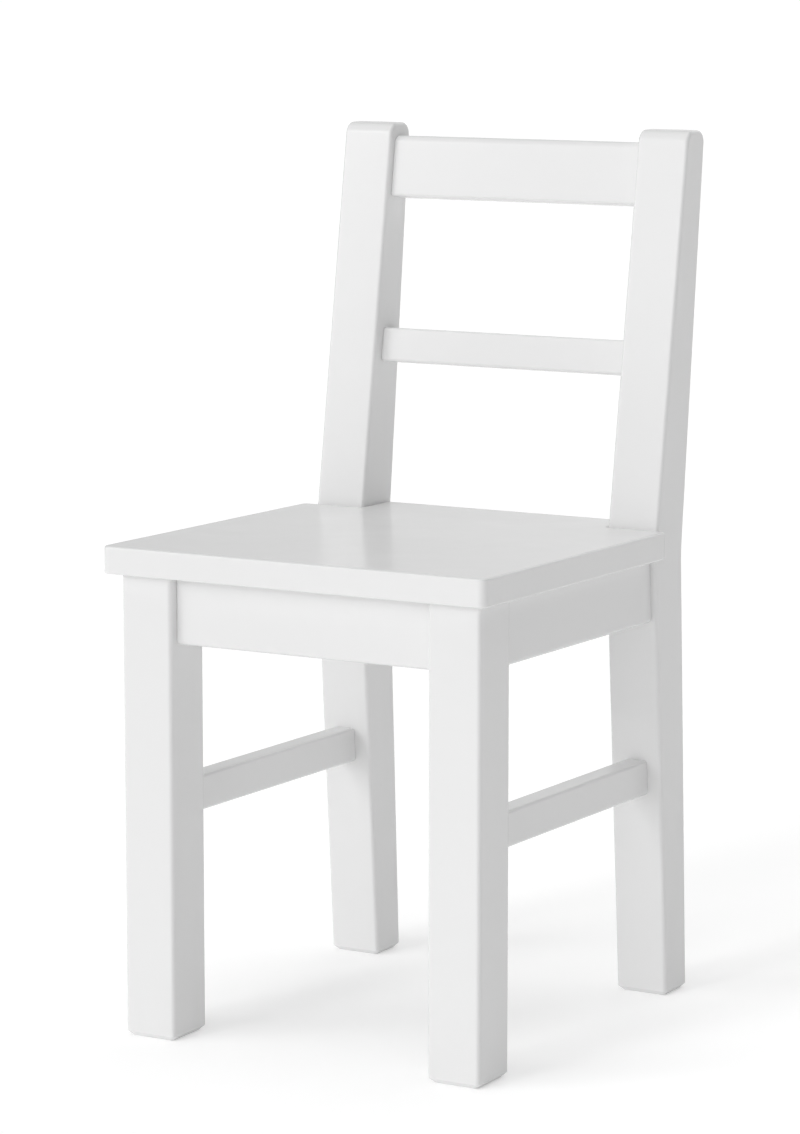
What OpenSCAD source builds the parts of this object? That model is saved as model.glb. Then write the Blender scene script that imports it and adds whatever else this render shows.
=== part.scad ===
// Child's chair in white-lacquered wood: a notched seat panel on a doweled frame of four legs,
// four aprons and two side stretchers, with two rails across the raked back.
// X runs across the seat, Y from front to back and Z up. The origin lies on the floor,
// under the middle of the chair's own width and depth.

/* [Overall] */
// Height of the tops of the back posts
chair_h = 550; // [480:1:620]
// Height of the seat's top at its front edge
seat_h = 306; // [270:1:330]
// Width over the outer faces of the legs
leg_span = 248; // [220:1:300]
// Distance from the front legs' front faces to the back posts' front faces at seat height
frame_d = 227; // [190:1:275]

/* [Seat] */
// Thickness of the seat panel
seat_t = 17.2; // [15:0.1:22]
// How far the seat stands out past the legs at each side
seat_side_overhang = 8.2; // [4:0.1:16]
// How far the seat stands out past the front legs
seat_front_overhang = 9.5; // [4:0.1:20]
// How far the seat's rear edge stays in front of the back posts' rear faces
seat_rear_setback = 2; // [0:0.5:8]
// Backward slope of the seat, the side aprons and the stretchers, in degrees
seat_slope = 0.6; // [0:0.1:2]
// Radius of the seat's corners, seen from above
seat_corner_r = 5; // [3:0.5:10]
// Radius along the seat's edges
seat_edge_r = 1.5; // [1:0.1:5]
// Gap between the seat's notches and the back posts
seat_gap = 0.4; // [0.3:0.1:1]

/* [Front legs] */
// Width of a front leg and of a back post, along X
leg_w = 35; // [30:0.5:42]
// Depth of a front leg, along Y
front_leg_d = 37; // [32:0.5:44]
// Radius along the long edges of the front legs, and at the sides of the back posts' tops
leg_edge_r = 2.5; // [1:0.1:4]
// Chamfer round the bottom of every foot
foot_chamfer = 3; // [1:0.1:5]

/* [Back posts] */
// Depth of a back post at the floor
post_foot_d = 30; // [26:0.5:36]
// Depth of a back post at the bend
post_bend_d = 38.3; // [36:0.1:44]
// Depth of a back post at its top
post_top_d = 24.4; // [23:0.1:32]
// How far the foot's front face stands behind the bend
post_splay = 21.2; // [0:0.1:35]
// How far the top's front face stands behind the bend
post_rake = 40.8; // [20:0.1:60]
// Radius of the front and rear corners of a post's top, seen from the side
post_top_r = 8; // [2:0.5:11]
// Radius of the bend at the rear of a post
post_bend_r = 80; // [40:5:150]

/* [Aprons] */
// Height of the front and rear aprons
apron_h = 42; // [38:0.5:50]
// Height of the side aprons
side_apron_h = 41.4; // [38:0.1:50]
// Thickness of every apron
apron_t = 15; // [13:0.5:18]
// How far the front apron stands back from the front legs' front faces
front_apron_recess = 6.4; // [3:0.1:10]
// How far the side aprons stand in from the legs' outer faces
side_apron_recess = 3.4; // [2:0.1:6]
// How far the rear apron stands in from the back posts' rear faces
rear_apron_recess = 8; // [5:0.5:10]
// Radius along the lower edges of the aprons
apron_edge_r = 2.5; // [1:0.1:4]

/* [Side stretchers] */
// Height of a stretcher's lower edge, halfway along it
stretcher_z = 133.8; // [60:0.1:180]
// Height of a stretcher
stretcher_h = 22.2; // [18:0.1:30]
// Thickness of a stretcher
stretcher_t = 15; // [13:0.5:18]
// How far the stretchers stand in from the legs' outer faces
stretcher_recess = 9.2; // [4:0.1:10]
// Radius along the edges of the stretchers
stretcher_edge_r = 2; // [1:0.1:4]

/* [Back rails] */
// Thickness of both back rails
rail_t = 17.4; // [14:0.1:22]
// Height of the top rail, along the back's rake
top_rail_h = 39.7; // [36:0.1:50]
// How far the top rail's front edge stays below the posts' tops
top_rail_drop = 6.8; // [4:0.1:20]
// How far the top rail stands back from the posts' front faces
top_rail_recess = 5; // [3:0.1:6.5]
// Radius along the top rail's upper edges
top_rail_upper_r = 5; // [1:0.5:7]
// Height of the middle rail, along the back's rake
middle_rail_h = 21.9; // [18:0.1:30]
// How far the middle rail lies above the middle of the opening under the top rail
middle_rail_raise = 4; // [-20:0.5:20]
// How far the middle rail stands back from the posts' front faces
middle_rail_recess = 8.5; // [4:0.1:12]
// Radius along the edges of the rails
rail_edge_r = 2; // [1:0.1:4]

/* [Dowels] */
// Diameter of a dowel
dowel_d = 8; // [6:1:10]
// Length of a dowel, half of it in each piece
dowel_l = 30; // [24:1:32]
// Gap round a dowel, filled with glue
dowel_gap = 0.08; // [0.05:0.01:0.2]
// Height of an apron's lower dowel above the apron's lower edge
apron_dowel_rise = 12; // [8:0.5:14]
// Distance between the two dowels of an apron or of the top rail
dowel_pitch = 18; // [12:0.5:20]

/* [Corner blocks] */
// Height of a corner block
block_h = 22; // [16:0.5:30]
// Thickness of a corner block between its notch and its long face
block_wall = 15.8; // [14:0.1:20]
// Distance from the tips of a corner block to the screws through it
block_screw_inset = 12.5; // [12:0.5:15]
// Gap between a corner block and the leg that it is notched round
block_gap = 0.4; // [0.3:0.1:1]

/* [Screws] */
// Diameter of a screw's shank
screw_d = 4; // [3:0.5:5]
// Diameter of a screw's head
screw_head_d = 7.5; // [6:0.5:8]
// Height of a screw's head
screw_head_h = 2.5; // [2:0.1:3]
// Width of a slot of the cross recess in a screw's head
screw_slot_w = 1; // [0.6:0.1:1.4]
// Length of the screws through a corner block into an apron
block_screw_l = 16; // [14:0.5:18]
// How much of a block screw's length lies in the block
block_screw_grip = 7; // [5:0.5:8]
// How far the seat screws reach into the seat
seat_screw_bite = 11; // [8:0.5:12]
// Gap round a screw's shank
screw_gap = 0.08; // [0.05:0.01:0.2]

/* [Hidden] */
$fn = 64;

LEFT = -1;
RIGHT = 1;
LACQUER = [0.92, 0.92, 0.91];
BEECH = [0.82, 0.66, 0.47];
ZINC = [0.72, 0.73, 0.75];

// How far cutting shapes reach past the faces that they cut
past = 1;
// Number of straight steps in each round corner of a post's outline
post_corner_steps = 8;
// How much deeper a bore is than the end of the dowel or screw in it
bore_relief = 1;
// Bevel at a dowel's ends
dowel_bevel = 1;
// Length of a screw's point
screw_point_l = 4;
// Bevel round the top of a screw's head
screw_head_bevel = 0.8;
// Depth of the cross recess in a screw's head
screw_slot_depth = 1.4;
// Width of the head left at each end of the recess's slots
screw_slot_end = 1.7;
// Width left free round a screw's head in its counterbore
screw_head_gap = 0.5;

// Outer and inner faces of the legs, from the middle
leg_outer_x = leg_span / 2;
leg_inner_x = leg_outer_x - leg_w;

// Height of the seat's underside, at depth y
function seat_under(y) =
    seat_h - seat_t / cos(seat_slope) - (y + seat_front_overhang) * tan(seat_slope);

// The back posts' front and rear outlines: floor, bend and top
bend_z = seat_under(frame_d);
post_lean = atan(post_rake / (chair_h - bend_z));
post_front_foot = frame_d + post_splay;
post_front_top = frame_d + post_rake;
post_rear_foot = post_front_foot + post_foot_d;
post_rear_bend = frame_d + post_bend_d;
post_rear_top = post_front_top + post_top_d;
post_rear_lean = atan((post_rear_top - post_rear_bend) / (chair_h - bend_z));

// Depth of a back post's front and rear faces at height z, below the bend and above it
function post_front_low(z) = post_front_foot + (frame_d - post_front_foot) * z / bend_z;
function post_front_high(z) = frame_d + (z - bend_z) * tan(post_lean);
function post_rear_low(z) = post_rear_foot + (post_rear_bend - post_rear_foot) * z / bend_z;
function post_rear_high(z) = post_rear_bend + (z - bend_z) * tan(post_rear_lean);

// The chair's foremost point is low on the seat's front edge, and its rearmost point is on the
// rounded rear corners of the posts' tops, or on the feet
rearmost_y = max(
    post_rear_high(chair_h - post_top_r) + post_top_r - post_top_r / cos(post_rear_lean),
    post_rear_low(foot_chamfer)
);
foremost_y = -seat_front_overhang - (seat_t - seat_edge_r) * sin(seat_slope)
    - seat_edge_r * (1 - cos(seat_slope));
origin_y = (rearmost_y + foremost_y) / 2;

// Seat
seat_side_x = leg_outer_x + seat_side_overhang;
seat_rear_y = post_rear_bend - seat_rear_setback;

// Aprons
front_apron_y = front_apron_recess;
front_apron_inner_y = front_apron_y + apron_t;
rear_apron_y = post_rear_bend - rear_apron_recess - apron_t;
side_apron_outer_x = leg_outer_x - side_apron_recess;
side_apron_inner_x = side_apron_outer_x - apron_t;
side_apron_mid_x = side_apron_outer_x - apron_t / 2;
function side_apron_low(y) = seat_under(y) - side_apron_h / cos(seat_slope);

// Stretchers
stretcher_outer_x = leg_outer_x - stretcher_recess;
stretcher_mid_x = stretcher_outer_x - stretcher_t / 2;
stretcher_mid_y = (front_leg_d + post_front_low(stretcher_z)) / 2;
function stretcher_low(y) = stretcher_z - (y - stretcher_mid_y) * tan(seat_slope);

// Back rails
top_rail_z = chair_h - top_rail_drop - top_rail_h * cos(post_lean);
middle_rail_z = (seat_h + top_rail_z - middle_rail_h * cos(post_lean)) / 2 + middle_rail_raise;

// Dowels
dowel_bore_r = dowel_d / 2 + dowel_gap;
dowel_bore_l = dowel_l + 2 * bore_relief;
apron_dowel_steps = [apron_dowel_rise, apron_dowel_rise + dowel_pitch];
front_apron_low = seat_under(front_apron_y + apron_t / 2) - apron_h;
rear_apron_low = seat_under(rear_apron_y + apron_t / 2) - apron_h;
top_rail_dowel_steps = [(top_rail_h - dowel_pitch) / 2, (top_rail_h + dowel_pitch) / 2];

// Corner blocks: the cross apron's face that a block lies on, the block's face that clears the
// leg, the way along Y from the one to the other, and the length of the arms on the aprons
leg_clear_x = leg_inner_x - block_gap;
block_notch_x = side_apron_inner_x - leg_clear_x;
function block_at(apron_y, clear_y) = [
    apron_y, clear_y, sign(clear_y - apron_y),
    block_wall * sqrt(2) + block_notch_x + abs(clear_y - apron_y)
];
BLOCKS = [
    block_at(front_apron_inner_y, front_leg_d + block_gap),
    block_at(rear_apron_y, frame_d - block_gap)
];
block_top_z = seat_under(rear_apron_y);
block_low_z = block_top_z - block_h;
block_screw_z = block_low_z + block_h / 2;

// ---------------------------------------------------------------- Shapes

// Unit vector from one point to another
function heading(from, to) = (to - from) / norm(to - from);

// Closed outline with round outward corners. Each corner is [across, up, radius], and a radius
// of 0 leaves it sharp.
module rounded_outline(corners) {
    n = len(corners);
    points = [for (c = corners) [c[0], c[1]]];
    radius = [for (c = corners) c[2]];
    back = [for (i = [0 : n - 1]) heading(points[i], points[(i + n - 1) % n])];
    ahead = [for (i = [0 : n - 1]) heading(points[i], points[(i + 1) % n])];
    half = [for (i = [0 : n - 1]) acos(back[i] * ahead[i]) / 2];
    reach = [for (i = [0 : n - 1]) radius[i] / tan(half[i])];
    polygon([for (i = [0 : n - 1]) each (radius[i] == 0 ? [points[i]]
        : [points[i] + back[i] * reach[i], points[i] + ahead[i] * reach[i]])]);
    for (i = [0 : n - 1]) if (radius[i] > 0)
        translate(points[i] + heading([0, 0], back[i] + ahead[i]) * radius[i] / sin(half[i]))
            circle(radius[i]);
}

// Points on the arc that rounds a corner of an outline, between the points before and after it
function stepped_corner(before, corner, after, radius) =
    let (back = heading(corner, before), ahead = heading(corner, after),
         half = acos(back * ahead) / 2,
         centre = corner + heading([0, 0], back + ahead) * radius / sin(half),
         first = corner + back * radius / tan(half) - centre,
         start = atan2(first[1], first[0]),
         turn = (back[1] * ahead[0] - back[0] * ahead[1] > 0 ? 1 : -1) * (180 - 2 * half))
    [for (i = [0 : post_corner_steps]) let (now = start + turn * i / post_corner_steps)
        centre + radius * [cos(now), sin(now)]];

// Rectangle from a low corner to a high corner, with one radius below and one above
module rounded_rect(low, high, lower_r, upper_r) {
    rounded_outline([
        [low[0], low[1], lower_r], [high[0], low[1], lower_r],
        [high[0], high[1], upper_r], [low[0], high[1], upper_r]
    ]);
}

// Runs an outline drawn in (y, z) along X
module along_x(x0, x1) {
    translate([x0, 0, 0]) rotate([90, 0, 90]) linear_extrude(x1 - x0) children();
}

// Runs an outline drawn in (x, z) along Y
module along_y(y0, y1) {
    translate([0, y1, 0]) rotate([90, 0, 0]) linear_extrude(y1 - y0) children();
}

// Moves the chair's parts to its own origin, and mirrors those of the left side
module placed(side = RIGHT) {
    translate([0, -origin_y, 0]) mirror([side == LEFT ? 1 : 0, 0, 0]) children();
}

// Front view of a leg: flat foot with chamfered edges, and a top with its own radius
module leg_front_view(top_z, top_r) {
    rounded_outline([
        [leg_inner_x + foot_chamfer, 0, 0], [leg_outer_x - foot_chamfer, 0, 0],
        [leg_outer_x, foot_chamfer, 0], [leg_outer_x, top_z, top_r],
        [leg_inner_x, top_z, top_r], [leg_inner_x, foot_chamfer, 0]
    ]);
}

// ---------------------------------------------------------------- Joints of the right side

// Places its child at the middle of each dowel of the right side, turned along Z to the dowel
module at_front_apron_dowels() {
    for (step = apron_dowel_steps)
        translate([leg_inner_x, front_apron_y + apron_t / 2, front_apron_low + step])
            rotate([0, 90, 0]) children();
}
module at_rear_apron_dowels() {
    for (step = apron_dowel_steps)
        translate([leg_inner_x, rear_apron_y + apron_t / 2, rear_apron_low + step])
            rotate([0, 90, 0]) children();
}
module at_side_apron_front_dowels() {
    for (step = apron_dowel_steps)
        translate([side_apron_mid_x, front_leg_d, side_apron_low(front_leg_d) + step])
            rotate([90, 0, 0]) children();
}
module at_side_apron_rear_dowels() {
    for (step = apron_dowel_steps) {
        z = side_apron_low(frame_d) + step;
        translate([side_apron_mid_x, post_front_low(z), z]) rotate([90, 0, 0]) children();
    }
}
module at_stretcher_front_dowel() {
    z = stretcher_low(front_leg_d) + stretcher_h / 2;
    translate([stretcher_mid_x, front_leg_d, z]) rotate([90, 0, 0]) children();
}
module at_stretcher_rear_dowel() {
    y = post_front_low(stretcher_z);
    z = stretcher_low(y) + stretcher_h / 2;
    translate([stretcher_mid_x, post_front_low(z), z]) rotate([90, 0, 0]) children();
}
module at_rail_dowels(rail_z, recess, steps) {
    for (step = steps)
        translate([leg_inner_x, post_front_high(rail_z), rail_z]) rotate([-post_lean, 0, 0])
            translate([0, recess + rail_t / 2, step]) rotate([0, 90, 0]) children();
}
module at_top_rail_dowels() {
    at_rail_dowels(top_rail_z, top_rail_recess, top_rail_dowel_steps) children();
}
module at_middle_rail_dowels() {
    at_rail_dowels(middle_rail_z, middle_rail_recess, [middle_rail_h / 2]) children();
}

// One dowel, and the bore that takes it
module dowel() {
    rotate_extrude() polygon([
        [0, -dowel_l / 2], [dowel_d / 2 - dowel_bevel, -dowel_l / 2],
        [dowel_d / 2, -dowel_l / 2 + dowel_bevel], [dowel_d / 2, dowel_l / 2 - dowel_bevel],
        [dowel_d / 2 - dowel_bevel, dowel_l / 2], [0, dowel_l / 2]
    ]);
}
module dowel_bore() {
    cylinder(h = dowel_bore_l, r = dowel_bore_r, center = true);
}

// Places its child at the head of each screw of one corner block, turned so that +Z is the
// way that the screw's point goes
module at_block_screws(block) {
    along = block[3] - block_screw_inset;
    translate([side_apron_inner_x - along, block[0] + block[2] * block_screw_grip, block_screw_z])
        rotate([block[2] * 90, 0, 0]) children();
    translate([side_apron_inner_x - block_screw_grip, block[0] + block[2] * along, block_screw_z])
        rotate([0, 90, 0]) children();
}
// Places its child at the head of the seat screw, halfway through the block's wall
module at_seat_screw(block) {
    shift = block_wall / 2 / sqrt(2);
    translate([leg_clear_x - shift, block[1] + block[2] * shift, block_low_z]) children();
}

// Screw with a flat-bottomed head at Z = 0 and its point at Z = length
module screw(length) {
    r = screw_d / 2;
    difference() {
        rotate_extrude() polygon([
            [0, -screw_head_h], [screw_head_d / 2 - screw_head_bevel, -screw_head_h],
            [screw_head_d / 2, -screw_head_h + screw_head_bevel], [screw_head_d / 2, 0],
            [r, 0], [r, length - screw_point_l], [0, length]
        ]);
        translate([0, 0, -screw_head_h]) for (turn = [0, 90]) rotate([0, 0, turn])
            cube([screw_head_d - 2 * screw_slot_end, screw_slot_w, 2 * screw_slot_depth],
                 center = true);
    }
}
module screw_bore(length) {
    cylinder(h = length + bore_relief, r = screw_d / 2 + screw_gap);
}

// ---------------------------------------------------------------- Sub-parts

module seat_panel() {
    depth = (seat_rear_y + seat_front_overhang) / cos(seat_slope);
    notch_y = (frame_d - seat_gap + seat_front_overhang) / cos(seat_slope);
    tongue_x = leg_inner_x - seat_gap;
    placed() color(LACQUER) difference() {
        translate([0, -seat_front_overhang, seat_h]) rotate([-seat_slope, 0, 0]) intersection() {
            translate([0, 0, -seat_t - past]) linear_extrude(seat_t + 2 * past) rounded_outline([
                [-seat_side_x, 0, seat_corner_r], [seat_side_x, 0, seat_corner_r],
                [seat_side_x, notch_y, seat_corner_r], [tongue_x, notch_y, 0],
                [tongue_x, depth, seat_edge_r], [-tongue_x, depth, seat_edge_r],
                [-tongue_x, notch_y, 0], [-seat_side_x, notch_y, seat_corner_r]
            ]);
            along_x(-seat_side_x - past, seat_side_x + past)
                rounded_rect([0, -seat_t], [depth, 0], seat_edge_r, seat_edge_r);
            along_y(-past, depth + past)
                rounded_rect([-seat_side_x, -seat_t], [seat_side_x, 0], seat_edge_r, seat_edge_r);
        }
        for (side = [LEFT, RIGHT], block = BLOCKS) mirror([side == LEFT ? 1 : 0, 0, 0])
            at_seat_screw(block) screw_bore(block_h + seat_screw_bite);
    }
}

module front_leg(side) {
    placed(side) color(LACQUER) difference() {
        intersection() {
            translate([0, 0, -past]) linear_extrude(seat_h) rounded_rect(
                [leg_inner_x, 0], [leg_outer_x, front_leg_d], leg_edge_r, leg_edge_r);
            along_x(leg_inner_x - past, leg_outer_x + past) polygon([
                [foot_chamfer, 0], [front_leg_d - foot_chamfer, 0], [front_leg_d, foot_chamfer],
                [front_leg_d, seat_under(front_leg_d)], [0, seat_under(0)], [0, foot_chamfer]
            ]);
            along_y(-past, front_leg_d + past) leg_front_view(seat_h, 0);
        }
        at_front_apron_dowels() dowel_bore();
        at_side_apron_front_dowels() dowel_bore();
        at_stretcher_front_dowel() dowel_bore();
    }
}

module rear_leg(side) {
    bend = [post_rear_bend, bend_z];
    top_rear = [post_rear_top, chair_h];
    top_front = [post_front_top, chair_h];
    knee = [frame_d, bend_z];
    above_foot = [post_rear_low(foot_chamfer), foot_chamfer];
    placed(side) color(LACQUER) difference() {
        intersection() {
            along_x(leg_inner_x - past, leg_outer_x + past) polygon([
                [post_front_foot + foot_chamfer, 0], [post_rear_foot - foot_chamfer, 0],
                above_foot, each stepped_corner(above_foot, bend, top_rear, post_bend_r),
                each stepped_corner(bend, top_rear, top_front, post_top_r),
                each stepped_corner(top_rear, top_front, knee, post_top_r),
                knee, [post_front_low(foot_chamfer), foot_chamfer]
            ]);
            along_y(0, post_rear_top + past) leg_front_view(chair_h, leg_edge_r);
        }
        at_rear_apron_dowels() dowel_bore();
        at_side_apron_rear_dowels() dowel_bore();
        at_stretcher_rear_dowel() dowel_bore();
        at_top_rail_dowels() dowel_bore();
        at_middle_rail_dowels() dowel_bore();
    }
}

// Apron across the chair, its front face at depth y
module cross_apron(y) {
    low = seat_under(y + apron_t / 2) - apron_h;
    along_x(-leg_inner_x, leg_inner_x) rounded_outline([
        [y, low, apron_edge_r], [y + apron_t, low, apron_edge_r],
        [y + apron_t, seat_under(y + apron_t), 0], [y, seat_under(y), 0]
    ]);
}

module front_apron() {
    placed() color(LACQUER) difference() {
        cross_apron(front_apron_y);
        for (side = [LEFT, RIGHT]) mirror([side == LEFT ? 1 : 0, 0, 0]) {
            at_front_apron_dowels() dowel_bore();
            at_block_screws(BLOCKS[0]) screw_bore(block_screw_l);
        }
    }
}

module rear_apron() {
    placed() color(LACQUER) difference() {
        cross_apron(rear_apron_y);
        for (side = [LEFT, RIGHT]) mirror([side == LEFT ? 1 : 0, 0, 0]) {
            at_rear_apron_dowels() dowel_bore();
            at_block_screws(BLOCKS[1]) screw_bore(block_screw_l);
        }
    }
}

// Bar that slopes with the seat, cut off at the front leg and at the back post
module sloped_bar(x, low, thickness, height, lower_r, upper_r) {
    intersection() {
        translate([0, 0, low]) rotate([-seat_slope, 0, 0]) along_y(0, frame_d + post_splay)
            rounded_rect([x - thickness, 0], [x, height], lower_r, upper_r);
        along_x(x - thickness - past, x + past) polygon([
            [front_leg_d, 0], [post_front_low(0), 0],
            [frame_d, bend_z], [frame_d, chair_h], [front_leg_d, chair_h]
        ]);
    }
}

module side_apron(side) {
    placed(side) color(LACQUER) difference() {
        sloped_bar(side_apron_outer_x, side_apron_low(0), apron_t, side_apron_h, apron_edge_r, 0);
        at_side_apron_front_dowels() dowel_bore();
        at_side_apron_rear_dowels() dowel_bore();
        for (block = BLOCKS) at_block_screws(block) screw_bore(block_screw_l);
    }
}

module side_stretcher(side) {
    placed(side) color(LACQUER) difference() {
        sloped_bar(stretcher_outer_x, stretcher_low(0), stretcher_t, stretcher_h,
                   stretcher_edge_r, stretcher_edge_r);
        at_stretcher_front_dowel() dowel_bore();
        at_stretcher_rear_dowel() dowel_bore();
    }
}

// Rail across the back, leaning with the posts
module back_rail(rail_z, recess, height, upper_r) {
    along_x(-leg_inner_x, leg_inner_x) translate([post_front_high(rail_z), rail_z])
        rotate(-post_lean)
            rounded_rect([recess, 0], [recess + rail_t, height], rail_edge_r, upper_r);
}

module top_back_rail() {
    placed() color(LACQUER) difference() {
        back_rail(top_rail_z, top_rail_recess, top_rail_h, top_rail_upper_r);
        for (side = [LEFT, RIGHT]) mirror([side == LEFT ? 1 : 0, 0, 0])
            at_top_rail_dowels() dowel_bore();
    }
}

module middle_back_rail() {
    placed() color(LACQUER) difference() {
        back_rail(middle_rail_z, middle_rail_recess, middle_rail_h, rail_edge_r);
        for (side = [LEFT, RIGHT]) mirror([side == LEFT ? 1 : 0, 0, 0])
            at_middle_rail_dowels() dowel_bore();
    }
}

// Three-cornered block in the corner of two aprons, notched round the leg
module corner_block(side, block) {
    corner_x = side_apron_inner_x;
    arm = block[3];
    arm_y = block[0] + block[2] * arm;
    near_y = min(block[0], arm_y);
    far_y = max(block[0], arm_y);
    placed(side) color(LACQUER) difference() {
        intersection() {
            translate([0, 0, block_low_z]) linear_extrude(2 * block_h) polygon([
                [corner_x - arm, block[0]], [leg_clear_x, block[0]],
                [leg_clear_x, block[1]], [corner_x, block[1]], [corner_x, arm_y]
            ]);
            along_x(corner_x - arm - past, corner_x + past) polygon([
                [near_y, block_low_z], [far_y, block_low_z],
                [far_y, seat_under(far_y)], [near_y, seat_under(near_y)]
            ]);
        }
        at_block_screws(block) {
            screw_bore(block_screw_grip);
            mirror([0, 0, 1]) cylinder(h = arm, r = screw_head_d / 2 + screw_head_gap);
        }
        at_seat_screw(block) translate([0, 0, -past]) screw_bore(2 * block_h);
    }
}

// ---------------------------------------------------------------- Dowels and screws

module both_sides() {
    for (side = [LEFT, RIGHT]) placed(side) children();
}

module apron_dowels() {
    color(BEECH) both_sides() {
        at_front_apron_dowels() dowel();
        at_rear_apron_dowels() dowel();
        at_side_apron_front_dowels() dowel();
        at_side_apron_rear_dowels() dowel();
    }
}

module stretcher_dowels() {
    color(BEECH) both_sides() {
        at_stretcher_front_dowel() dowel();
        at_stretcher_rear_dowel() dowel();
    }
}

module back_rail_dowels() {
    color(BEECH) both_sides() {
        at_top_rail_dowels() dowel();
        at_middle_rail_dowels() dowel();
    }
}

module block_screws() {
    color(ZINC) both_sides() for (block = BLOCKS) at_block_screws(block) screw(block_screw_l);
}

module seat_screws() {
    color(ZINC) both_sides() for (block = BLOCKS)
        at_seat_screw(block) screw(block_h + seat_screw_bite);
}

seat_panel();
front_leg(LEFT);  // front_leg_left
front_leg(RIGHT);  // front_leg_right
rear_leg(LEFT);  // rear_leg_left
rear_leg(RIGHT);  // rear_leg_right
front_apron();
rear_apron();
side_apron(LEFT);  // side_apron_left
side_apron(RIGHT);  // side_apron_right
side_stretcher(LEFT);  // side_stretcher_left
side_stretcher(RIGHT);  // side_stretcher_right
top_back_rail();
middle_back_rail();
corner_block(LEFT, BLOCKS[0]);  // corner_block_front_left
corner_block(RIGHT, BLOCKS[0]);  // corner_block_front_right
corner_block(LEFT, BLOCKS[1]);  // corner_block_rear_left
corner_block(RIGHT, BLOCKS[1]);  // corner_block_rear_right
apron_dowels();
stretcher_dowels();
back_rail_dowels();
block_screws();
seat_screws();
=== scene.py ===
import math

import bmesh
import bpy
from mathutils import Matrix, Vector


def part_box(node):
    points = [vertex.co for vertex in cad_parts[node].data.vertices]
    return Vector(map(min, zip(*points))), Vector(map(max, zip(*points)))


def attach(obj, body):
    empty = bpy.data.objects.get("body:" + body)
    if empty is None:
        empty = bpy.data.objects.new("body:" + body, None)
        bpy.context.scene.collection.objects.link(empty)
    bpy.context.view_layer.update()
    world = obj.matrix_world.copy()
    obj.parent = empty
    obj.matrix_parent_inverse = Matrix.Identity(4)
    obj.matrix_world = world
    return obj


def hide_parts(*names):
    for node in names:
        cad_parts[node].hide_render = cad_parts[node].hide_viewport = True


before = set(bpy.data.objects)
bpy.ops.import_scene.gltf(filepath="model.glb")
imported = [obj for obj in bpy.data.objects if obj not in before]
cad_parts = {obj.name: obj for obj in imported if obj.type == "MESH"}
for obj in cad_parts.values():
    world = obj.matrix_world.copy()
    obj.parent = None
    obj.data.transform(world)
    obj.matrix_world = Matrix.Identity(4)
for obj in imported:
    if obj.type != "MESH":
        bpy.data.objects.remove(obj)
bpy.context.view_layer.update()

# A white-lacquered child's chair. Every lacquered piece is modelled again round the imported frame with
# the soft edges that sanding and lacquer leave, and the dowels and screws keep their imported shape.

DOWELS = ("apron_dowels", "stretcher_dowels", "back_rail_dowels")
SCREWS = ("block_screws", "seat_screws")

# ---------------------------------------------------------------- Sizes, in metres

MM = 0.001
NEAR = 0.02 * MM  # how close two places are when they count as the same
MERGE = NEAR / 10  # how close two corners are when they are merged into one
CREASE = math.radians(8)  # faces that meet at more than this have an edge that can be rounded
FLAT = math.radians(0.3)  # faces that meet at less than this lie in one plane
SMOOTH = math.radians(35)  # faces that meet at less than this are shaded as one curve
SPARE = 1 * MM  # how far a blank stands up past the cut that trims it

SEAT_SLOPE = math.radians(0.6)  # backward fall of the seat, the side aprons and the stretchers
SEAT_GAP = 0.4 * MM  # between the seat's notches and the posts

POST_FOOT_DEPTH = 30 * MM
POST_BEND_DEPTH = 38.3 * MM
POST_TOP_DEPTH = 24.4 * MM
POST_SPLAY = 21.2 * MM  # how far the foot's front face stands behind the bend
POST_RAKE = 40.8 * MM  # how far the top's front face stands behind the bend
FOOT_CHAMFER = 3 * MM
BAR_SPARE = 5 * MM  # how far a side bar's blank reaches past its joints before they are cut

BLOCK_GAP = 0.4 * MM  # between a corner block and the leg that it is notched round
BLOCK_SCREW_INSET = 12.5 * MM  # from the tips of a block to the screws through it
BLOCK_SCREW_GRIP = 7 * MM  # how much of a screw lies in the block
COUNTERBORE = 4.25 * MM  # radius
COUNTERBORE_SIDES = 48

GLUE_GAP = 0.08 * MM
JOINT_FILL = 0.33  # share of a bar's end rounding that lacquer fills where the bar meets a leg

# Roundings: the radius, and how many facets it is made of
SEAT_CORNER = 5 * MM, 8
SEAT_EDGE = 1.5 * MM, 8
NOTCH_EDGE = 0.6 * MM, 2
LEG_EDGE = 2.5 * MM, 6
FOOT_EDGE = 0.6 * MM, 2
POST_TOP_ROUND = 8 * MM, 14
POST_BEND_ROUND = 80 * MM, 8
POST_KNEE_ROUND = 20 * MM, 3
APRON_EDGE = 2.5 * MM, 6
STRETCHER_EDGE = 2 * MM, 12
STRETCHER_END = 1.2 * MM, 6
RAIL_EDGE = 2 * MM, 6
TOP_RAIL_ROUND = 5 * MM, 12
BLOCK_EDGE = 0.8 * MM, 3

# ---------------------------------------------------------------- Places, from the frame

FRONT_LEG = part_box("front_leg_right")
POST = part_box("rear_leg_right")
KNEE_Y = POST[0].y
CHAIR_TOP = POST[1].z


def seat_under(y):
    """Height of the seat's underside at depth y."""
    return FRONT_LEG[1].z - (y - FRONT_LEG[0].y) * math.tan(SEAT_SLOPE)


BEND_Z = seat_under(KNEE_Y)
POST_LEAN = math.atan(POST_RAKE / (CHAIR_TOP - BEND_Z))
SPLAY_LEAN = math.atan(POST_SPLAY / BEND_Z)
# Where the rear blocks' tops are lowest. The screws through every block sit halfway up to it.
BLOCK_TOP = seat_under(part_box("rear_apron")[0].y)


def turned_box(node, lean):
    """Lowest and highest corners of a CAD node in axes that lean back by an angle."""
    upright = Matrix.Rotation(lean, 3, "X")
    points = [upright @ v.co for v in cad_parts[node].data.vertices]
    return Vector(map(min, zip(*points))), Vector(map(max, zip(*points)))


# ---------------------------------------------------------------- Tests for faces and edges


def near(a, b):
    return abs(a - b) < NEAR


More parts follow.
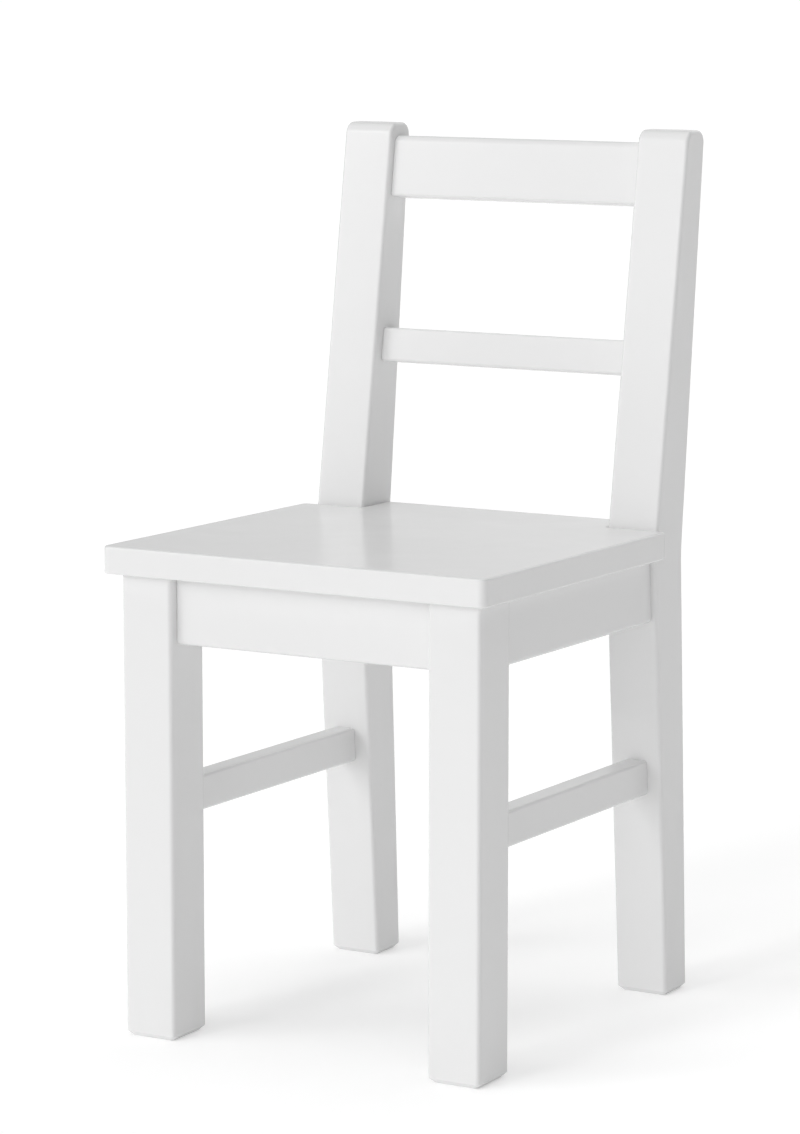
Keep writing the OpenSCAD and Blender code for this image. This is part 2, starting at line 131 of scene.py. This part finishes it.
def middle(corners):
    return sum(corners, Vector()) / len(corners)


def all_at(axis, *values):
    """Test that every corner lies at the same one of the values along an axis."""
    return lambda corners: any(all(near(c[axis], value) for c in corners) for value in values)


def below_seat(corners):
    """Whether a corner lies lower than the seat's underside, which the other corners may touch."""
    return any(not near(c.z, seat_under(c.y)) for c in corners)


# ---------------------------------------------------------------- Modelling


def open_up(piece):
    """Makes a piece the active object and opens it in edit mode."""
    bpy.context.view_layer.objects.active = piece
    bpy.ops.object.mode_set(mode="EDIT")


def place_primitive(name, size):
    """Names the primitive just added, gives it its size, and opens it in edit mode."""
    piece = bpy.context.active_object
    piece.name = piece.data.name = name
    piece.scale = size
    bpy.ops.object.transform_apply(location=True, rotation=True, scale=True)
    open_up(piece)
    return piece


def add_block(name, low, high):
    bpy.ops.object.select_all(action="DESELECT")
    bpy.ops.mesh.primitive_cube_add(size=1, location=(low + high) / 2)
    return place_primitive(name, high - low)


def add_sheet(name, low, high):
    """A flat rectangle at the height of low."""
    bpy.ops.object.select_all(action="DESELECT")
    bpy.ops.mesh.primitive_plane_add(size=1, location=((low.x + high.x) / 2, (low.y + high.y) / 2, low.z))
    return place_primitive(name, (high.x - low.x, high.y - low.y, 1))


def pick_faces(piece, test):
    """Selects only the faces whose corners pass a test."""
    bpy.ops.mesh.select_mode(type="FACE")
    bpy.ops.mesh.select_all(action="DESELECT")
    mesh = bmesh.from_edit_mesh(piece.data)
    for face in mesh.faces:
        if test([v.co for v in face.verts]):
            face.select_set(True)
    bmesh.update_edit_mesh(piece.data)


def pick_edges(piece, test):
    """Selects only the creased edges whose ends pass a test, and returns the mean of their turns."""
    bpy.ops.mesh.select_mode(type="EDGE")
    bpy.ops.mesh.select_all(action="DESELECT")
    mesh = bmesh.from_edit_mesh(piece.data)
    turns = []
    for edge in mesh.edges:
        turn = edge.calc_face_angle()
        if turn > CREASE and test([v.co for v in edge.verts]):
            edge.select_set(True)
            turns.append(turn)
    bmesh.update_edit_mesh(piece.data)
    return sum(turns) / len(turns)


def round_edges(piece, test, rounding):
    """Rounds the creased edges that pass a test."""
    radius, facets = rounding
    turn = pick_edges(piece, test)
    bpy.ops.mesh.bevel(offset=radius * math.tan(turn / 2), segments=facets, profile=0.5, affect="EDGES")


def move_edges(piece, test, by):
    pick_edges(piece, test)
    bpy.ops.transform.translate(value=by)


def cut_off(point, normal):
    """Takes away the side of a plane that its normal points to, and closes the cut."""
    bpy.ops.mesh.select_all(action="SELECT")
    bpy.ops.mesh.bisect(plane_co=point, plane_no=normal, use_fill=True, clear_outer=True)


def cut_under_seat():
    cut_off((0, 0, seat_under(0)), (0, math.sin(SEAT_SLOPE), math.cos(SEAT_SLOPE)))


def cut_sheet(piece, cuts, waste):
    """Cuts a sheet along planes, throws away the faces that pass a test, and joins up the rest."""
    for point, normal in cuts:
        bpy.ops.mesh.select_all(action="SELECT")
        bpy.ops.mesh.bisect(plane_co=point, plane_no=normal)
    pick_faces(piece, waste)
    bpy.ops.mesh.delete(type="FACE")
    join_flats()


def join_flats():
    """Joins faces that lie in one plane."""
    bpy.ops.mesh.select_all(action="SELECT")
    bpy.ops.mesh.dissolve_limited(angle_limit=FLAT)


def thicken_sheet(thickness):
    bpy.ops.mesh.select_all(action="SELECT")
    bpy.ops.mesh.extrude_region_move(TRANSFORM_OT_translate={"value": (0, 0, thickness)})
    bpy.ops.mesh.select_all(action="SELECT")
    bpy.ops.mesh.normals_make_consistent(inside=False)


def lean_back(piece, lean):
    """Leaves edit mode and leans the whole piece back about the frame's X axis."""
    bpy.ops.object.mode_set(mode="OBJECT")
    piece.rotation_euler.x = -lean
    bpy.ops.object.transform_apply(location=False, rotation=True, scale=False)


# ---------------------------------------------------------------- Bores


def bore_cutters():
    """The dowels and screws as one hidden shape, larger by the glue gap."""
    bpy.ops.object.select_all(action="DESELECT")
    for node in DOWELS + SCREWS:
        copy = bpy.data.objects.new("cutters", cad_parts[node].data.copy())
        bpy.context.scene.collection.objects.link(copy)
        copy.select_set(True)
        bpy.context.view_layer.objects.active = copy
    bpy.ops.object.join()
    cutters = bpy.context.active_object
    open_up(cutters)
    bpy.ops.mesh.select_all(action="SELECT")
    bpy.ops.mesh.remove_doubles(threshold=MERGE)
    bpy.ops.mesh.normals_make_consistent(inside=False)
    bpy.ops.transform.shrink_fatten(value=GLUE_GAP)
    bpy.ops.object.mode_set(mode="OBJECT")
    return cutters


def cut_away(piece, cutters):
    bpy.context.view_layer.objects.active = piece
    cut = piece.modifiers.new("bores", "BOOLEAN")
    cut.operation = "DIFFERENCE"
    cut.solver = "EXACT"
    cut.object = cutters
    bpy.ops.object.modifier_apply(modifier=cut.name)


# ---------------------------------------------------------------- Finishing a piece


def close_up(piece):
    """Leaves edit mode with doubles merged and every face pointing out."""
    open_up(piece)
    bpy.ops.mesh.select_all(action="SELECT")
    bpy.ops.mesh.remove_doubles(threshold=MERGE)
    bpy.ops.mesh.normals_make_consistent(inside=False)
    bpy.ops.object.mode_set(mode="OBJECT")


def mirrored(piece, name):
    """A copy with its own mesh, mirrored to the left side."""
    copy = bpy.data.objects.new(name, piece.data.copy())
    bpy.context.scene.collection.objects.link(copy)
    bpy.ops.object.select_all(action="DESELECT")
    copy.select_set(True)
    bpy.context.view_layer.objects.active = copy
    copy.scale.x = -1
    bpy.ops.object.transform_apply(location=False, rotation=False, scale=True)
    close_up(copy)
    return copy


def finish_piece(piece, node, material, cutters):
    """Cuts the bores, smooths only the roundings, and puts the piece in the place of its CAD node."""
    close_up(piece)
    cut_away(piece, cutters)
    bpy.ops.object.select_all(action="DESELECT")
    piece.select_set(True)
    bpy.ops.object.shade_smooth_by_angle(angle=SMOOTH)
    flats = piece.modifiers.new("flats", "WEIGHTED_NORMAL")
    flats.keep_sharp = True
    bpy.ops.object.modifier_apply(modifier=flats.name)
    piece.data.materials.clear()
    piece.data.materials.append(material)
    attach(piece, "root")
    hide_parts(node)


def finish_pair(piece, node, material, cutters):
    """Finishes a right-hand piece and its mirrored left-hand twin."""
    close_up(piece)
    left_node = node.replace("right", "left")
    finish_piece(mirrored(piece, "lacquered_" + left_node), left_node, material, cutters)
    finish_piece(piece, node, material, cutters)


# ---------------------------------------------------------------- Pieces


def joint_fill(rounding):
    """How far a bar's end runs into a leg, so that lacquer fills part of its rounding there."""
    return JOINT_FILL * rounding[0]


def seat_panel(material, cutters):
    """Slab with rounded corners and edges, notched round the posts, falling back by the slope."""
    low, high = turned_box("seat_panel", SEAT_SLOPE)
    tongue_x = POST[0].x - SEAT_GAP
    notch_y = (KNEE_Y - SEAT_GAP) * math.cos(SEAT_SLOPE) - BEND_Z * math.sin(SEAT_SLOPE)
    seat = add_sheet("lacquered_seat_panel", low, high)
    cut_sheet(
        seat,
        [((-tongue_x, 0, 0), (1, 0, 0)), ((tongue_x, 0, 0), (1, 0, 0)), ((0, notch_y, 0), (0, 1, 0))],
        lambda c: abs(middle(c).x) > tongue_x and middle(c).y > notch_y,
    )
    thicken_sheet(high.z - low.z)

    def upright_at(x, y):
        return lambda c: near(abs(middle(c).x), x) and near(middle(c).y, y)

    def wide_corner(c):
        return upright_at(high.x, low.y)(c) or upright_at(high.x, notch_y)(c)

    def at_notch(c):
        return near(middle(c).y, notch_y) or all_at(0, -tongue_x, tongue_x)(c)

    def rim(c):
        return all_at(2, low.z, high.z)(c) and not at_notch(c) or upright_at(tongue_x, high.y)(c)

    def notch_rim(c):
        return all_at(2, low.z, high.z)(c) and at_notch(c)

    round_edges(seat, wide_corner, SEAT_CORNER)
    round_edges(seat, rim, SEAT_EDGE)
    round_edges(seat, notch_rim, NOTCH_EDGE)
    lean_back(seat, SEAT_SLOPE)
    finish_piece(seat, "seat_panel", material, cutters)


def add_foot(leg, front_y, rear_y):
    """Draws a leg's lower end in to a foot between two depths, chamfered all round."""
    pick_faces(leg, all_at(2, FOOT_CHAMFER))
    bpy.ops.mesh.extrude_region_move(TRANSFORM_OT_translate={"value": (0, 0, -FOOT_CHAMFER)})
    depths = [v.co.y for v in bmesh.from_edit_mesh(leg.data).verts if near(v.co.z, 0)]
    width = POST[1].x - POST[0].x
    depth = max(depths) - min(depths)
    centre = Vector(((POST[0].x + POST[1].x) / 2, (min(depths) + max(depths)) / 2, 0))
    shrink = ((width - 2 * FOOT_CHAMFER) / width, (rear_y - front_y) / depth, 1)
    bpy.ops.transform.resize(value=shrink, center_override=centre)
    bpy.ops.transform.translate(value=(0, (front_y + rear_y) / 2 - centre.y, 0))
    round_edges(leg, all_at(2, 0, FOOT_CHAMFER), FOOT_EDGE)


def front_legs(material, cutters):
    """Square leg with rounded long edges and a chamfered foot, cut to the seat's fall at its top."""
    low, high = FRONT_LEG
    leg = add_block("lacquered_front_leg_right", Vector((low.x, low.y, FOOT_CHAMFER)), high)
    cut_under_seat()

    def upright(c):
        return near(c[0].x, c[1].x) and near(c[0].y, c[1].y)

    round_edges(leg, upright, LEG_EDGE)
    add_foot(leg, low.y + FOOT_CHAMFER, high.y - FOOT_CHAMFER)
    finish_pair(leg, "front_leg_right", material, cutters)


def rear_posts(material, cutters):
    """Leg and back post in one, bent at the seat, tapered both ways and rounded over at the top."""
    low, high = POST
    bend_y = KNEE_Y + POST_BEND_DEPTH
    top_y = KNEE_Y + POST_RAKE
    foot_y = KNEE_Y + POST_SPLAY
    foot_share = 1 - FOOT_CHAMFER / BEND_Z

    def crosswise(y, z):
        return lambda c: all(near(p.y, y) and near(p.z, z) for p in c)

    post = add_block("lacquered_rear_leg_right", Vector((low.x, KNEE_Y, FOOT_CHAMFER)),
                     Vector((high.x, bend_y, BEND_Z)))
    rear_splay = POST_SPLAY + POST_FOOT_DEPTH - POST_BEND_DEPTH
    move_edges(post, crosswise(KNEE_Y, FOOT_CHAMFER), (0, POST_SPLAY * foot_share, 0))
    move_edges(post, crosswise(bend_y, FOOT_CHAMFER), (0, rear_splay * foot_share, 0))
    pick_faces(post, all_at(2, BEND_Z))
    bpy.ops.mesh.extrude_region_move(TRANSFORM_OT_translate={"value": (0, POST_RAKE, CHAIR_TOP - BEND_Z)})
    move_edges(post, crosswise(bend_y + POST_RAKE, CHAIR_TOP), (0, POST_TOP_DEPTH - POST_BEND_DEPTH, 0))
    join_flats()

    def outline(c):
        return all_at(0, low.x, high.x)(c) and middle(c).z > FOOT_CHAMFER + NEAR

    round_edges(post, crosswise(bend_y, BEND_Z), POST_BEND_ROUND)
    round_edges(post, crosswise(KNEE_Y, BEND_Z), POST_KNEE_ROUND)
    round_edges(post, crosswise(top_y, CHAIR_TOP), POST_TOP_ROUND)
    round_edges(post, crosswise(top_y + POST_TOP_DEPTH, CHAIR_TOP), POST_TOP_ROUND)
    round_edges(post, outline, LEG_EDGE)
    add_foot(post, foot_y + FOOT_CHAMFER, foot_y + POST_FOOT_DEPTH - FOOT_CHAMFER)
    finish_pair(post, "rear_leg_right", material, cutters)


def cross_apron(node, material, cutters):
    """Board between two legs, its lower edges and its ends rounded, cut to the seat's fall on top."""
    low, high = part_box(node)
    sunk = Vector((joint_fill(APRON_EDGE), 0, 0))
    apron = add_block("lacquered_" + node, low - sunk, high + sunk + Vector((0, 0, SPARE)))
    cut_under_seat()
    round_edges(apron, below_seat, APRON_EDGE)
    finish_piece(apron, node, material, cutters)


def sloped_bar(node, long_edge, end_edge, material, cutters):
    """Bar that falls back with the seat, from the front leg's rear face to the post's front face."""
    low, high = turned_box(node, SEAT_SLOPE)
    reach = Vector((0, BAR_SPARE, 0))
    bar = add_block("lacquered_" + node, low - reach, high + reach)
    lean_back(bar, SEAT_SLOPE)
    open_up(bar)
    sunk = joint_fill(end_edge)
    cut_off((0, FRONT_LEG[1].y - sunk, 0), (0, -1, 0))
    cut_off((0, KNEE_Y + sunk, BEND_Z), (0, math.cos(SPLAY_LEAN), math.sin(SPLAY_LEAN)))

    def lengthwise(c):
        return abs(c[0].y - c[1].y) > high.z - low.z

    if long_edge != end_edge:
        round_edges(bar, lengthwise, long_edge)
    round_edges(bar, below_seat, end_edge)
    finish_pair(bar, node, material, cutters)


def back_rail(node, upper_edge, material, cutters):
    """Rail that leans with the posts, with its own rounding along the upper edges."""
    low, high = turned_box(node, POST_LEAN)
    sunk = Vector((joint_fill(RAIL_EDGE), 0, 0))
    rail = add_block("lacquered_" + node, low - sunk, high + sunk)

    def along_top(c):
        return all_at(2, high.z)(c) and not near(c[0].x, c[1].x)

    if upper_edge != RAIL_EDGE:
        round_edges(rail, along_top, upper_edge)
    round_edges(rail, lambda c: True, RAIL_EDGE)
    lean_back(rail, POST_LEAN)
    finish_piece(rail, node, material, cutters)


def corner_blocks(node, apron_y, clear_y, material, cutters):
    """Three-cornered block between two aprons, notched round the leg, counterbored for its screws."""
    low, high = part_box(node)
    clear_x = POST[0].x - BLOCK_GAP
    inward = 1 if clear_y > apron_y else -1
    arm = high.x - low.x
    block = add_sheet("lacquered_" + node, low, high)
    diagonal = ((low.x, apron_y, 0), (-1, inward, 0))

    def waste(c):
        m = middle(c)
        past_diagonal = (m.y - apron_y) * inward > m.x - low.x
        return past_diagonal or m.x > clear_x and (clear_y - m.y) * inward > 0

    cut_sheet(block, [diagonal, ((clear_x, 0, 0), (1, 0, 0)), ((0, clear_y, 0), (0, 1, 0))], waste)
    thicken_sheet(high.z - low.z + SPARE)
    cut_under_seat()
    round_edges(block, below_seat, BLOCK_EDGE)
    close_up(block)

    screw_z = (low.z + BLOCK_TOP) / 2
    head = BLOCK_SCREW_GRIP + arm / 2
    tip = arm - BLOCK_SCREW_INSET
    into_cross_apron = Vector((high.x - tip, apron_y + inward * head, screw_z))
    into_side_apron = Vector((high.x - head, apron_y + inward * tip, screw_z))
    for place, turn in ((into_cross_apron, (math.pi / 2, 0, 0)), (into_side_apron, (0, math.pi / 2, 0))):
        bpy.ops.object.select_all(action="DESELECT")
        bpy.ops.mesh.primitive_cylinder_add(vertices=COUNTERBORE_SIDES, radius=COUNTERBORE, depth=arm,
                                            location=place, rotation=turn)
        counterbore = bpy.context.active_object
        cut_away(block, counterbore)
        bpy.data.objects.remove(counterbore)
    finish_pair(block, node, material, cutters)


# ---------------------------------------------------------------- Finishes

NOISE_LOW, NOISE_HIGH = 0.3, 0.7  # what a noise mostly stays between

# How many times a pattern repeats in a metre
PEEL_SCALE = 450.0
MOTTLE_SCALE = 14.0
HAZE_SCALE = 5.0
FLOOR_HAZE_SCALE = 3.0
ACROSS_GRAIN = 700.0
ALONG_GRAIN = 18.0

# The two tones of each finish, its least and greatest roughness, and the height of its relief
LACQUER_WHITES = (0.857, 0.857, 0.857), (0.873, 0.873, 0.873)
LACQUER_ROUGHNESS = 0.17, 0.23
LACQUER_PEEL = 0.012 * MM
LACQUER_FIBRES = 0.004 * MM
BEECH_TONES = (0.60, 0.40, 0.22), (0.74, 0.55, 0.35)
BEECH_ROUGHNESS = 0.5, 0.62
BEECH_FIBRES = 0.02 * MM
ZINC_TONES = (0.58, 0.60, 0.63), (0.74, 0.75, 0.76)
ZINC_ROUGHNESS = 0.25, 0.4
ZINC_CLOUDS = 0.005 * MM
ZINC_CLOUD_SCALE = 1500.0
FLOOR_WHITES = (0.795, 0.795, 0.795), (0.805, 0.805, 0.805)


def new_group(name, setting, default, results):
    """Shader group with one setting, which is a number or a vector, and with numbers as results."""
    group = bpy.data.node_groups.new(name, "ShaderNodeTree")
    kind = "NodeSocketFloat" if isinstance(default, float) else "NodeSocketVector"
    group.interface.new_socket(setting, in_out="INPUT", socket_type=kind).default_value = default
    for label in results:
        group.interface.new_socket(label, in_out="OUTPUT", socket_type="NodeSocketFloat")
    return group, group.nodes.new("NodeGroupInput"), group.nodes.new("NodeGroupOutput")


def noise(tree, vector, scale, detail, roughness=0.5):
    """Noise at places that a socket gives. The scale is a number or a socket."""
    node = tree.nodes.new("ShaderNodeTexNoise")
    node.inputs["Detail"].default_value = detail
    node.inputs["Roughness"].default_value = roughness
    if isinstance(scale, float):
        node.inputs["Scale"].default_value = scale
    else:
        tree.links.new(scale, node.inputs["Scale"])
    tree.links.new(vector, node.inputs["Vector"])
    return node.outputs["Fac"]


def spray_group():
    """The fine orange peel of sprayed lacquer, and the slow changes in its gloss and depth."""
    group, given, result = new_group("Spray_Coat", "Peel Scale", PEEL_SCALE, ["Peel", "Mottle", "Haze"])
    place = group.nodes.new("ShaderNodeTexCoord").outputs["Object"]
    group.links.new(noise(group, place, given.outputs["Peel Scale"], detail=1.5), result.inputs["Peel"])
    group.links.new(noise(group, place, MOTTLE_SCALE, detail=3), result.inputs["Mottle"])
    group.links.new(noise(group, place, HAZE_SCALE, detail=2), result.inputs["Haze"])
    return group


def grain_group():
    """Wood fibres, from how many times the grain repeats in a metre along each axis."""
    group, given, result = new_group("Wood_Grain", "Repeats", (1, 1, 1), ["Fibre"])
    place = group.nodes.new("ShaderNodeTexCoord").outputs["Object"]
    stretch = group.nodes.new("ShaderNodeVectorMath")
    stretch.operation = "MULTIPLY"
    group.links.new(place, stretch.inputs[0])
    group.links.new(given.outputs["Repeats"], stretch.inputs[1])
    fibres = noise(group, stretch.outputs["Vector"], 1.0, detail=4, roughness=0.6)
    group.links.new(fibres, result.inputs["Fibre"])
    return group


def put_group(tree, group):
    node = tree.nodes.new("ShaderNodeGroup")
    node.node_tree = group
    return node


def put_grain(tree, grain, axis):
    """Places the grain group so that the fibres run along an axis, and returns their socket."""
    wood = put_group(tree, grain)
    wood.inputs["Repeats"].default_value = [ALONG_GRAIN if i == axis else ACROSS_GRAIN for i in range(3)]
    return wood.outputs["Fibre"]


def new_material(name):
    material = bpy.data.materials.new(name)
    material.use_nodes = True
    tree = material.node_tree
    return material, tree, tree.nodes["Principled BSDF"]


def spread(tree, value, low, high):
    """Spreads a noise over the range from low to high."""
    node = tree.nodes.new("ShaderNodeMapRange")
    node.inputs["From Min"].default_value = NOISE_LOW
    node.inputs["From Max"].default_value = NOISE_HIGH
    node.inputs["To Min"].default_value = low
    node.inputs["To Max"].default_value = high
    tree.links.new(value, node.inputs["Value"])
    return node.outputs["Result"]


def blend_colours(tree, share, first, second):
    node = tree.nodes.new("ShaderNodeMix")
    node.data_type = "RGBA"
    tree.links.new(share, node.inputs["Factor"])
    node.inputs["A"].default_value = (*first, 1)
    node.inputs["B"].default_value = (*second, 1)
    return node.outputs["Result"]


def bump(tree, height, distance, below=None):
    node = tree.nodes.new("ShaderNodeBump")
    node.inputs["Distance"].default_value = distance
    tree.links.new(height, node.inputs["Height"])
    if below is not None:
        tree.links.new(below, node.inputs["Normal"])
    return node.outputs["Normal"]


def lacquer(name, axis, spray, grain):
    """White semi-gloss lacquer over wood whose grain runs along an axis and shows through faintly."""
    material, tree, shader = new_material(name)
    coat = put_group(tree, spray)
    white = blend_colours(tree, spread(tree, coat.outputs["Haze"], 0, 1), *LACQUER_WHITES)
    tree.links.new(white, shader.inputs["Base Color"])
    roughness = spread(tree, coat.outputs["Mottle"], *LACQUER_ROUGHNESS)
    tree.links.new(roughness, shader.inputs["Roughness"])
    fibres = bump(tree, put_grain(tree, grain, axis), LACQUER_FIBRES)
    tree.links.new(bump(tree, coat.outputs["Peel"], LACQUER_PEEL, fibres), shader.inputs["Normal"])
    return material


def beech(grain):
    """Bare turned beech, for the dowels."""
    material, tree, shader = new_material("bare_beech")
    fibre = put_grain(tree, grain, 1)
    tone = blend_colours(tree, spread(tree, fibre, 0, 1), *BEECH_TONES)
    tree.links.new(tone, shader.inputs["Base Color"])
    tree.links.new(spread(tree, fibre, *BEECH_ROUGHNESS), shader.inputs["Roughness"])
    tree.links.new(bump(tree, fibre, BEECH_FIBRES), shader.inputs["Normal"])
    return material


def zinc(spray):
    """Bright zinc plating, slightly cloudy, for the screws."""
    material, tree, shader = new_material("bright_zinc")
    coat = put_group(tree, spray)
    coat.inputs["Peel Scale"].default_value = ZINC_CLOUD_SCALE
    clouds = coat.outputs["Peel"]
    tone = blend_colours(tree, spread(tree, clouds, 0, 1), *ZINC_TONES)
    tree.links.new(tone, shader.inputs["Base Color"])
    shader.inputs["Metallic"].default_value = 1.0
    tree.links.new(spread(tree, clouds, *ZINC_ROUGHNESS), shader.inputs["Roughness"])
    tree.links.new(bump(tree, clouds, ZINC_CLOUDS), shader.inputs["Normal"])
    return material


# ---------------------------------------------------------------- Studio

CAMERA_AZIMUTH = 29.88  # degrees round from straight in front, towards the right
CAMERA_ELEVATION = 8.85
CAMERA_AIM = Vector((-0.0045, -0.01005, 0.2839))
CAMERA_DISTANCE = 2.5463
CAMERA_LENS = 130.52

FLOOR_RADIUS = 60
FLOOR_SIDES = 64
FLOOR_GLOW = 0.150  # light that the floor gives off itself
FLOOR_LIFT = 0.145  # what it gives off on top of that where it is seen, so that it runs into the backdrop


def view_from(azimuth, elevation):
    a, e = math.radians(azimuth), math.radians(elevation)
    return Vector((math.sin(a) * math.cos(e), -math.cos(a) * math.cos(e), math.sin(e)))


# Glowing walls round the chair: the direction of each one's middle, how fast its light falls off to
# the sides, and its brightness in the middle
STUDIO_WALLS = (
    (view_from(0, 0), 1, 0.50),
    (view_from(0, 0), 8, 0.60),
    (view_from(180, 0), 1, 0.48),
    (view_from(180, 15), 8, 1.05),
    (view_from(0, 90), 8, 1.75),
)

# Far lamps: azimuth, elevation and apparent width in degrees, and strength
LAMPS = {
    "key_light": (-14, 18, 10, 0.24),
    "left_light": (-45, 20, 30, 0.72),
    "right_light": (15, 20, 30, 0.13),
}
FLOOR_LAMPS = {
    "floor_key_light": (-16, 22, 22, 0.60),
    "floor_top_light": (0, 80, 60, 0.29),
}


def look_from(thing, direction):
    """Turns a lamp or a camera so that it looks back along a direction."""
    thing.rotation_mode = "QUATERNION"
    thing.rotation_quaternion = direction.to_track_quat("Z", "Y")


def floor():
    """Plain white floor that runs out into the backdrop."""
    bpy.ops.object.select_all(action="DESELECT")
    bpy.ops.mesh.primitive_circle_add(vertices=FLOOR_SIDES, radius=FLOOR_RADIUS, fill_type="NGON")
    ground = bpy.context.active_object
    ground.name = "floor"
    material, tree, shader = new_material("white_floor")
    haze = noise(tree, tree.nodes.new("ShaderNodeTexCoord").outputs["Object"], FLOOR_HAZE_SCALE, detail=2)
    tree.links.new(blend_colours(tree, haze, *FLOOR_WHITES), shader.inputs["Base Color"])
    shader.inputs["Roughness"].default_value = 0.9
    shader.inputs["Specular IOR Level"].default_value = 0.1
    shader.inputs["Emission Color"].default_value = (1, 1, 1, 1)
    glow = tree.nodes.new("ShaderNodeMapRange")
    glow.inputs["To Min"].default_value = FLOOR_GLOW
    glow.inputs["To Max"].default_value = FLOOR_GLOW + FLOOR_LIFT
    tree.links.new(tree.nodes.new("ShaderNodeLightPath").outputs["Is Camera Ray"], glow.inputs["Value"])
    tree.links.new(glow.outputs["Result"], shader.inputs["Emission Strength"])
    ground.data.materials.append(material)
    return ground


def number_node(tree, operation, value, other):
    """A Math node fed by a socket, with a number as its second value."""
    node = tree.nodes.new("ShaderNodeMath")
    node.operation = operation
    node.inputs[1].default_value = other
    tree.links.new(value, node.inputs[0])
    return node


def surroundings():
    """Soft light from the glowing walls, before a white backdrop that only the camera sees."""
    world = bpy.data.worlds.new("studio")
    world.use_nodes = True
    tree = world.node_tree
    direction = tree.nodes.new("ShaderNodeTexCoord").outputs["Generated"]
    light = None
    for middle_of_wall, falloff, strength in STUDIO_WALLS:
        facing = tree.nodes.new("ShaderNodeVectorMath")
        facing.operation = "DOT_PRODUCT"
        facing.inputs[1].default_value = middle_of_wall
        tree.links.new(direction, facing.inputs[0])
        in_front = number_node(tree, "MAXIMUM", facing.outputs["Value"], 0)
        faded = number_node(tree, "POWER", in_front.outputs[0], falloff)
        wall = number_node(tree, "MULTIPLY_ADD", faded.outputs[0], strength)
        wall.inputs[2].default_value = 0
        if light is not None:
            tree.links.new(light, wall.inputs[2])
        light = wall.outputs[0]
    walls = tree.nodes["Background"]
    walls.inputs["Color"].default_value = (1, 1, 1, 1)
    tree.links.new(light, walls.inputs["Strength"])
    backdrop = tree.nodes.new("ShaderNodeBackground")
    backdrop.inputs["Color"].default_value = (1, 1, 1, 1)
    mix = tree.nodes.new("ShaderNodeMixShader")
    tree.links.new(tree.nodes.new("ShaderNodeLightPath").outputs["Is Camera Ray"], mix.inputs[0])
    tree.links.new(walls.outputs[0], mix.inputs[1])
    tree.links.new(backdrop.outputs[0], mix.inputs[2])
    tree.links.new(mix.outputs[0], tree.nodes["World Output"].inputs["Surface"])
    bpy.context.scene.world = world


def lamps(ground):
    """Soft far lamps, and two more that light only the floor and deepen its shadows."""
    only_floor = bpy.data.collections.new("only_floor")
    only_floor.objects.link(ground)
    for name, (azimuth, elevation, width, strength) in (LAMPS | FLOOR_LAMPS).items():
        lamp = bpy.data.lights.new(name, "SUN")
        lamp.angle = math.radians(width)
        lamp.energy = strength
        light = bpy.data.objects.new(name, lamp)
        bpy.context.scene.collection.objects.link(light)
        look_from(light, view_from(azimuth, elevation))
        if name in FLOOR_LAMPS:
            light.light_linking.receiver_collection = only_floor


def camera():
    """Long lens from the front right, looking slightly down."""
    lens = bpy.data.cameras.new("camera")
    lens.sensor_width = 36
    lens.lens = CAMERA_LENS
    lens.clip_end = 200
    eye = bpy.data.objects.new("camera", lens)
    bpy.context.scene.collection.objects.link(eye)
    direction = view_from(CAMERA_AZIMUTH, CAMERA_ELEVATION)
    eye.location = CAMERA_AIM + direction * CAMERA_DISTANCE
    look_from(eye, direction)
    bpy.context.scene.camera = eye


# ---------------------------------------------------------------- The chair

cutters = bore_cutters()
spray, grain = spray_group(), grain_group()
upright = lacquer("lacquer_upright", 2, spray, grain)
across = lacquer("lacquer_across", 0, spray, grain)
lengthwise = lacquer("lacquer_lengthwise", 1, spray, grain)

seat_panel(across, cutters)
front_legs(upright, cutters)
rear_posts(upright, cutters)
cross_apron("front_apron", across, cutters)
cross_apron("rear_apron", across, cutters)
sloped_bar("side_apron_right", APRON_EDGE, APRON_EDGE, lengthwise, cutters)
sloped_bar("side_stretcher_right", STRETCHER_EDGE, STRETCHER_END, lengthwise, cutters)
back_rail("top_back_rail", TOP_RAIL_ROUND, across, cutters)
back_rail("middle_back_rail", RAIL_EDGE, across, cutters)
corner_blocks("corner_block_front_right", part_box("front_apron")[1].y, FRONT_LEG[1].y + BLOCK_GAP,
              across, cutters)
corner_blocks("corner_block_rear_right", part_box("rear_apron")[0].y, KNEE_Y - BLOCK_GAP,
              across, cutters)
bpy.data.objects.remove(cutters)

for nodes, material in ((DOWELS, beech(grain)), (SCREWS, zinc(spray))):
    for node in nodes:
        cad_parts[node].data.materials.clear()
        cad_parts[node].data.materials.append(material)

ground = floor()
surroundings()
lamps(ground)
camera()
bpy.context.scene.view_settings.view_transform = "Standard"
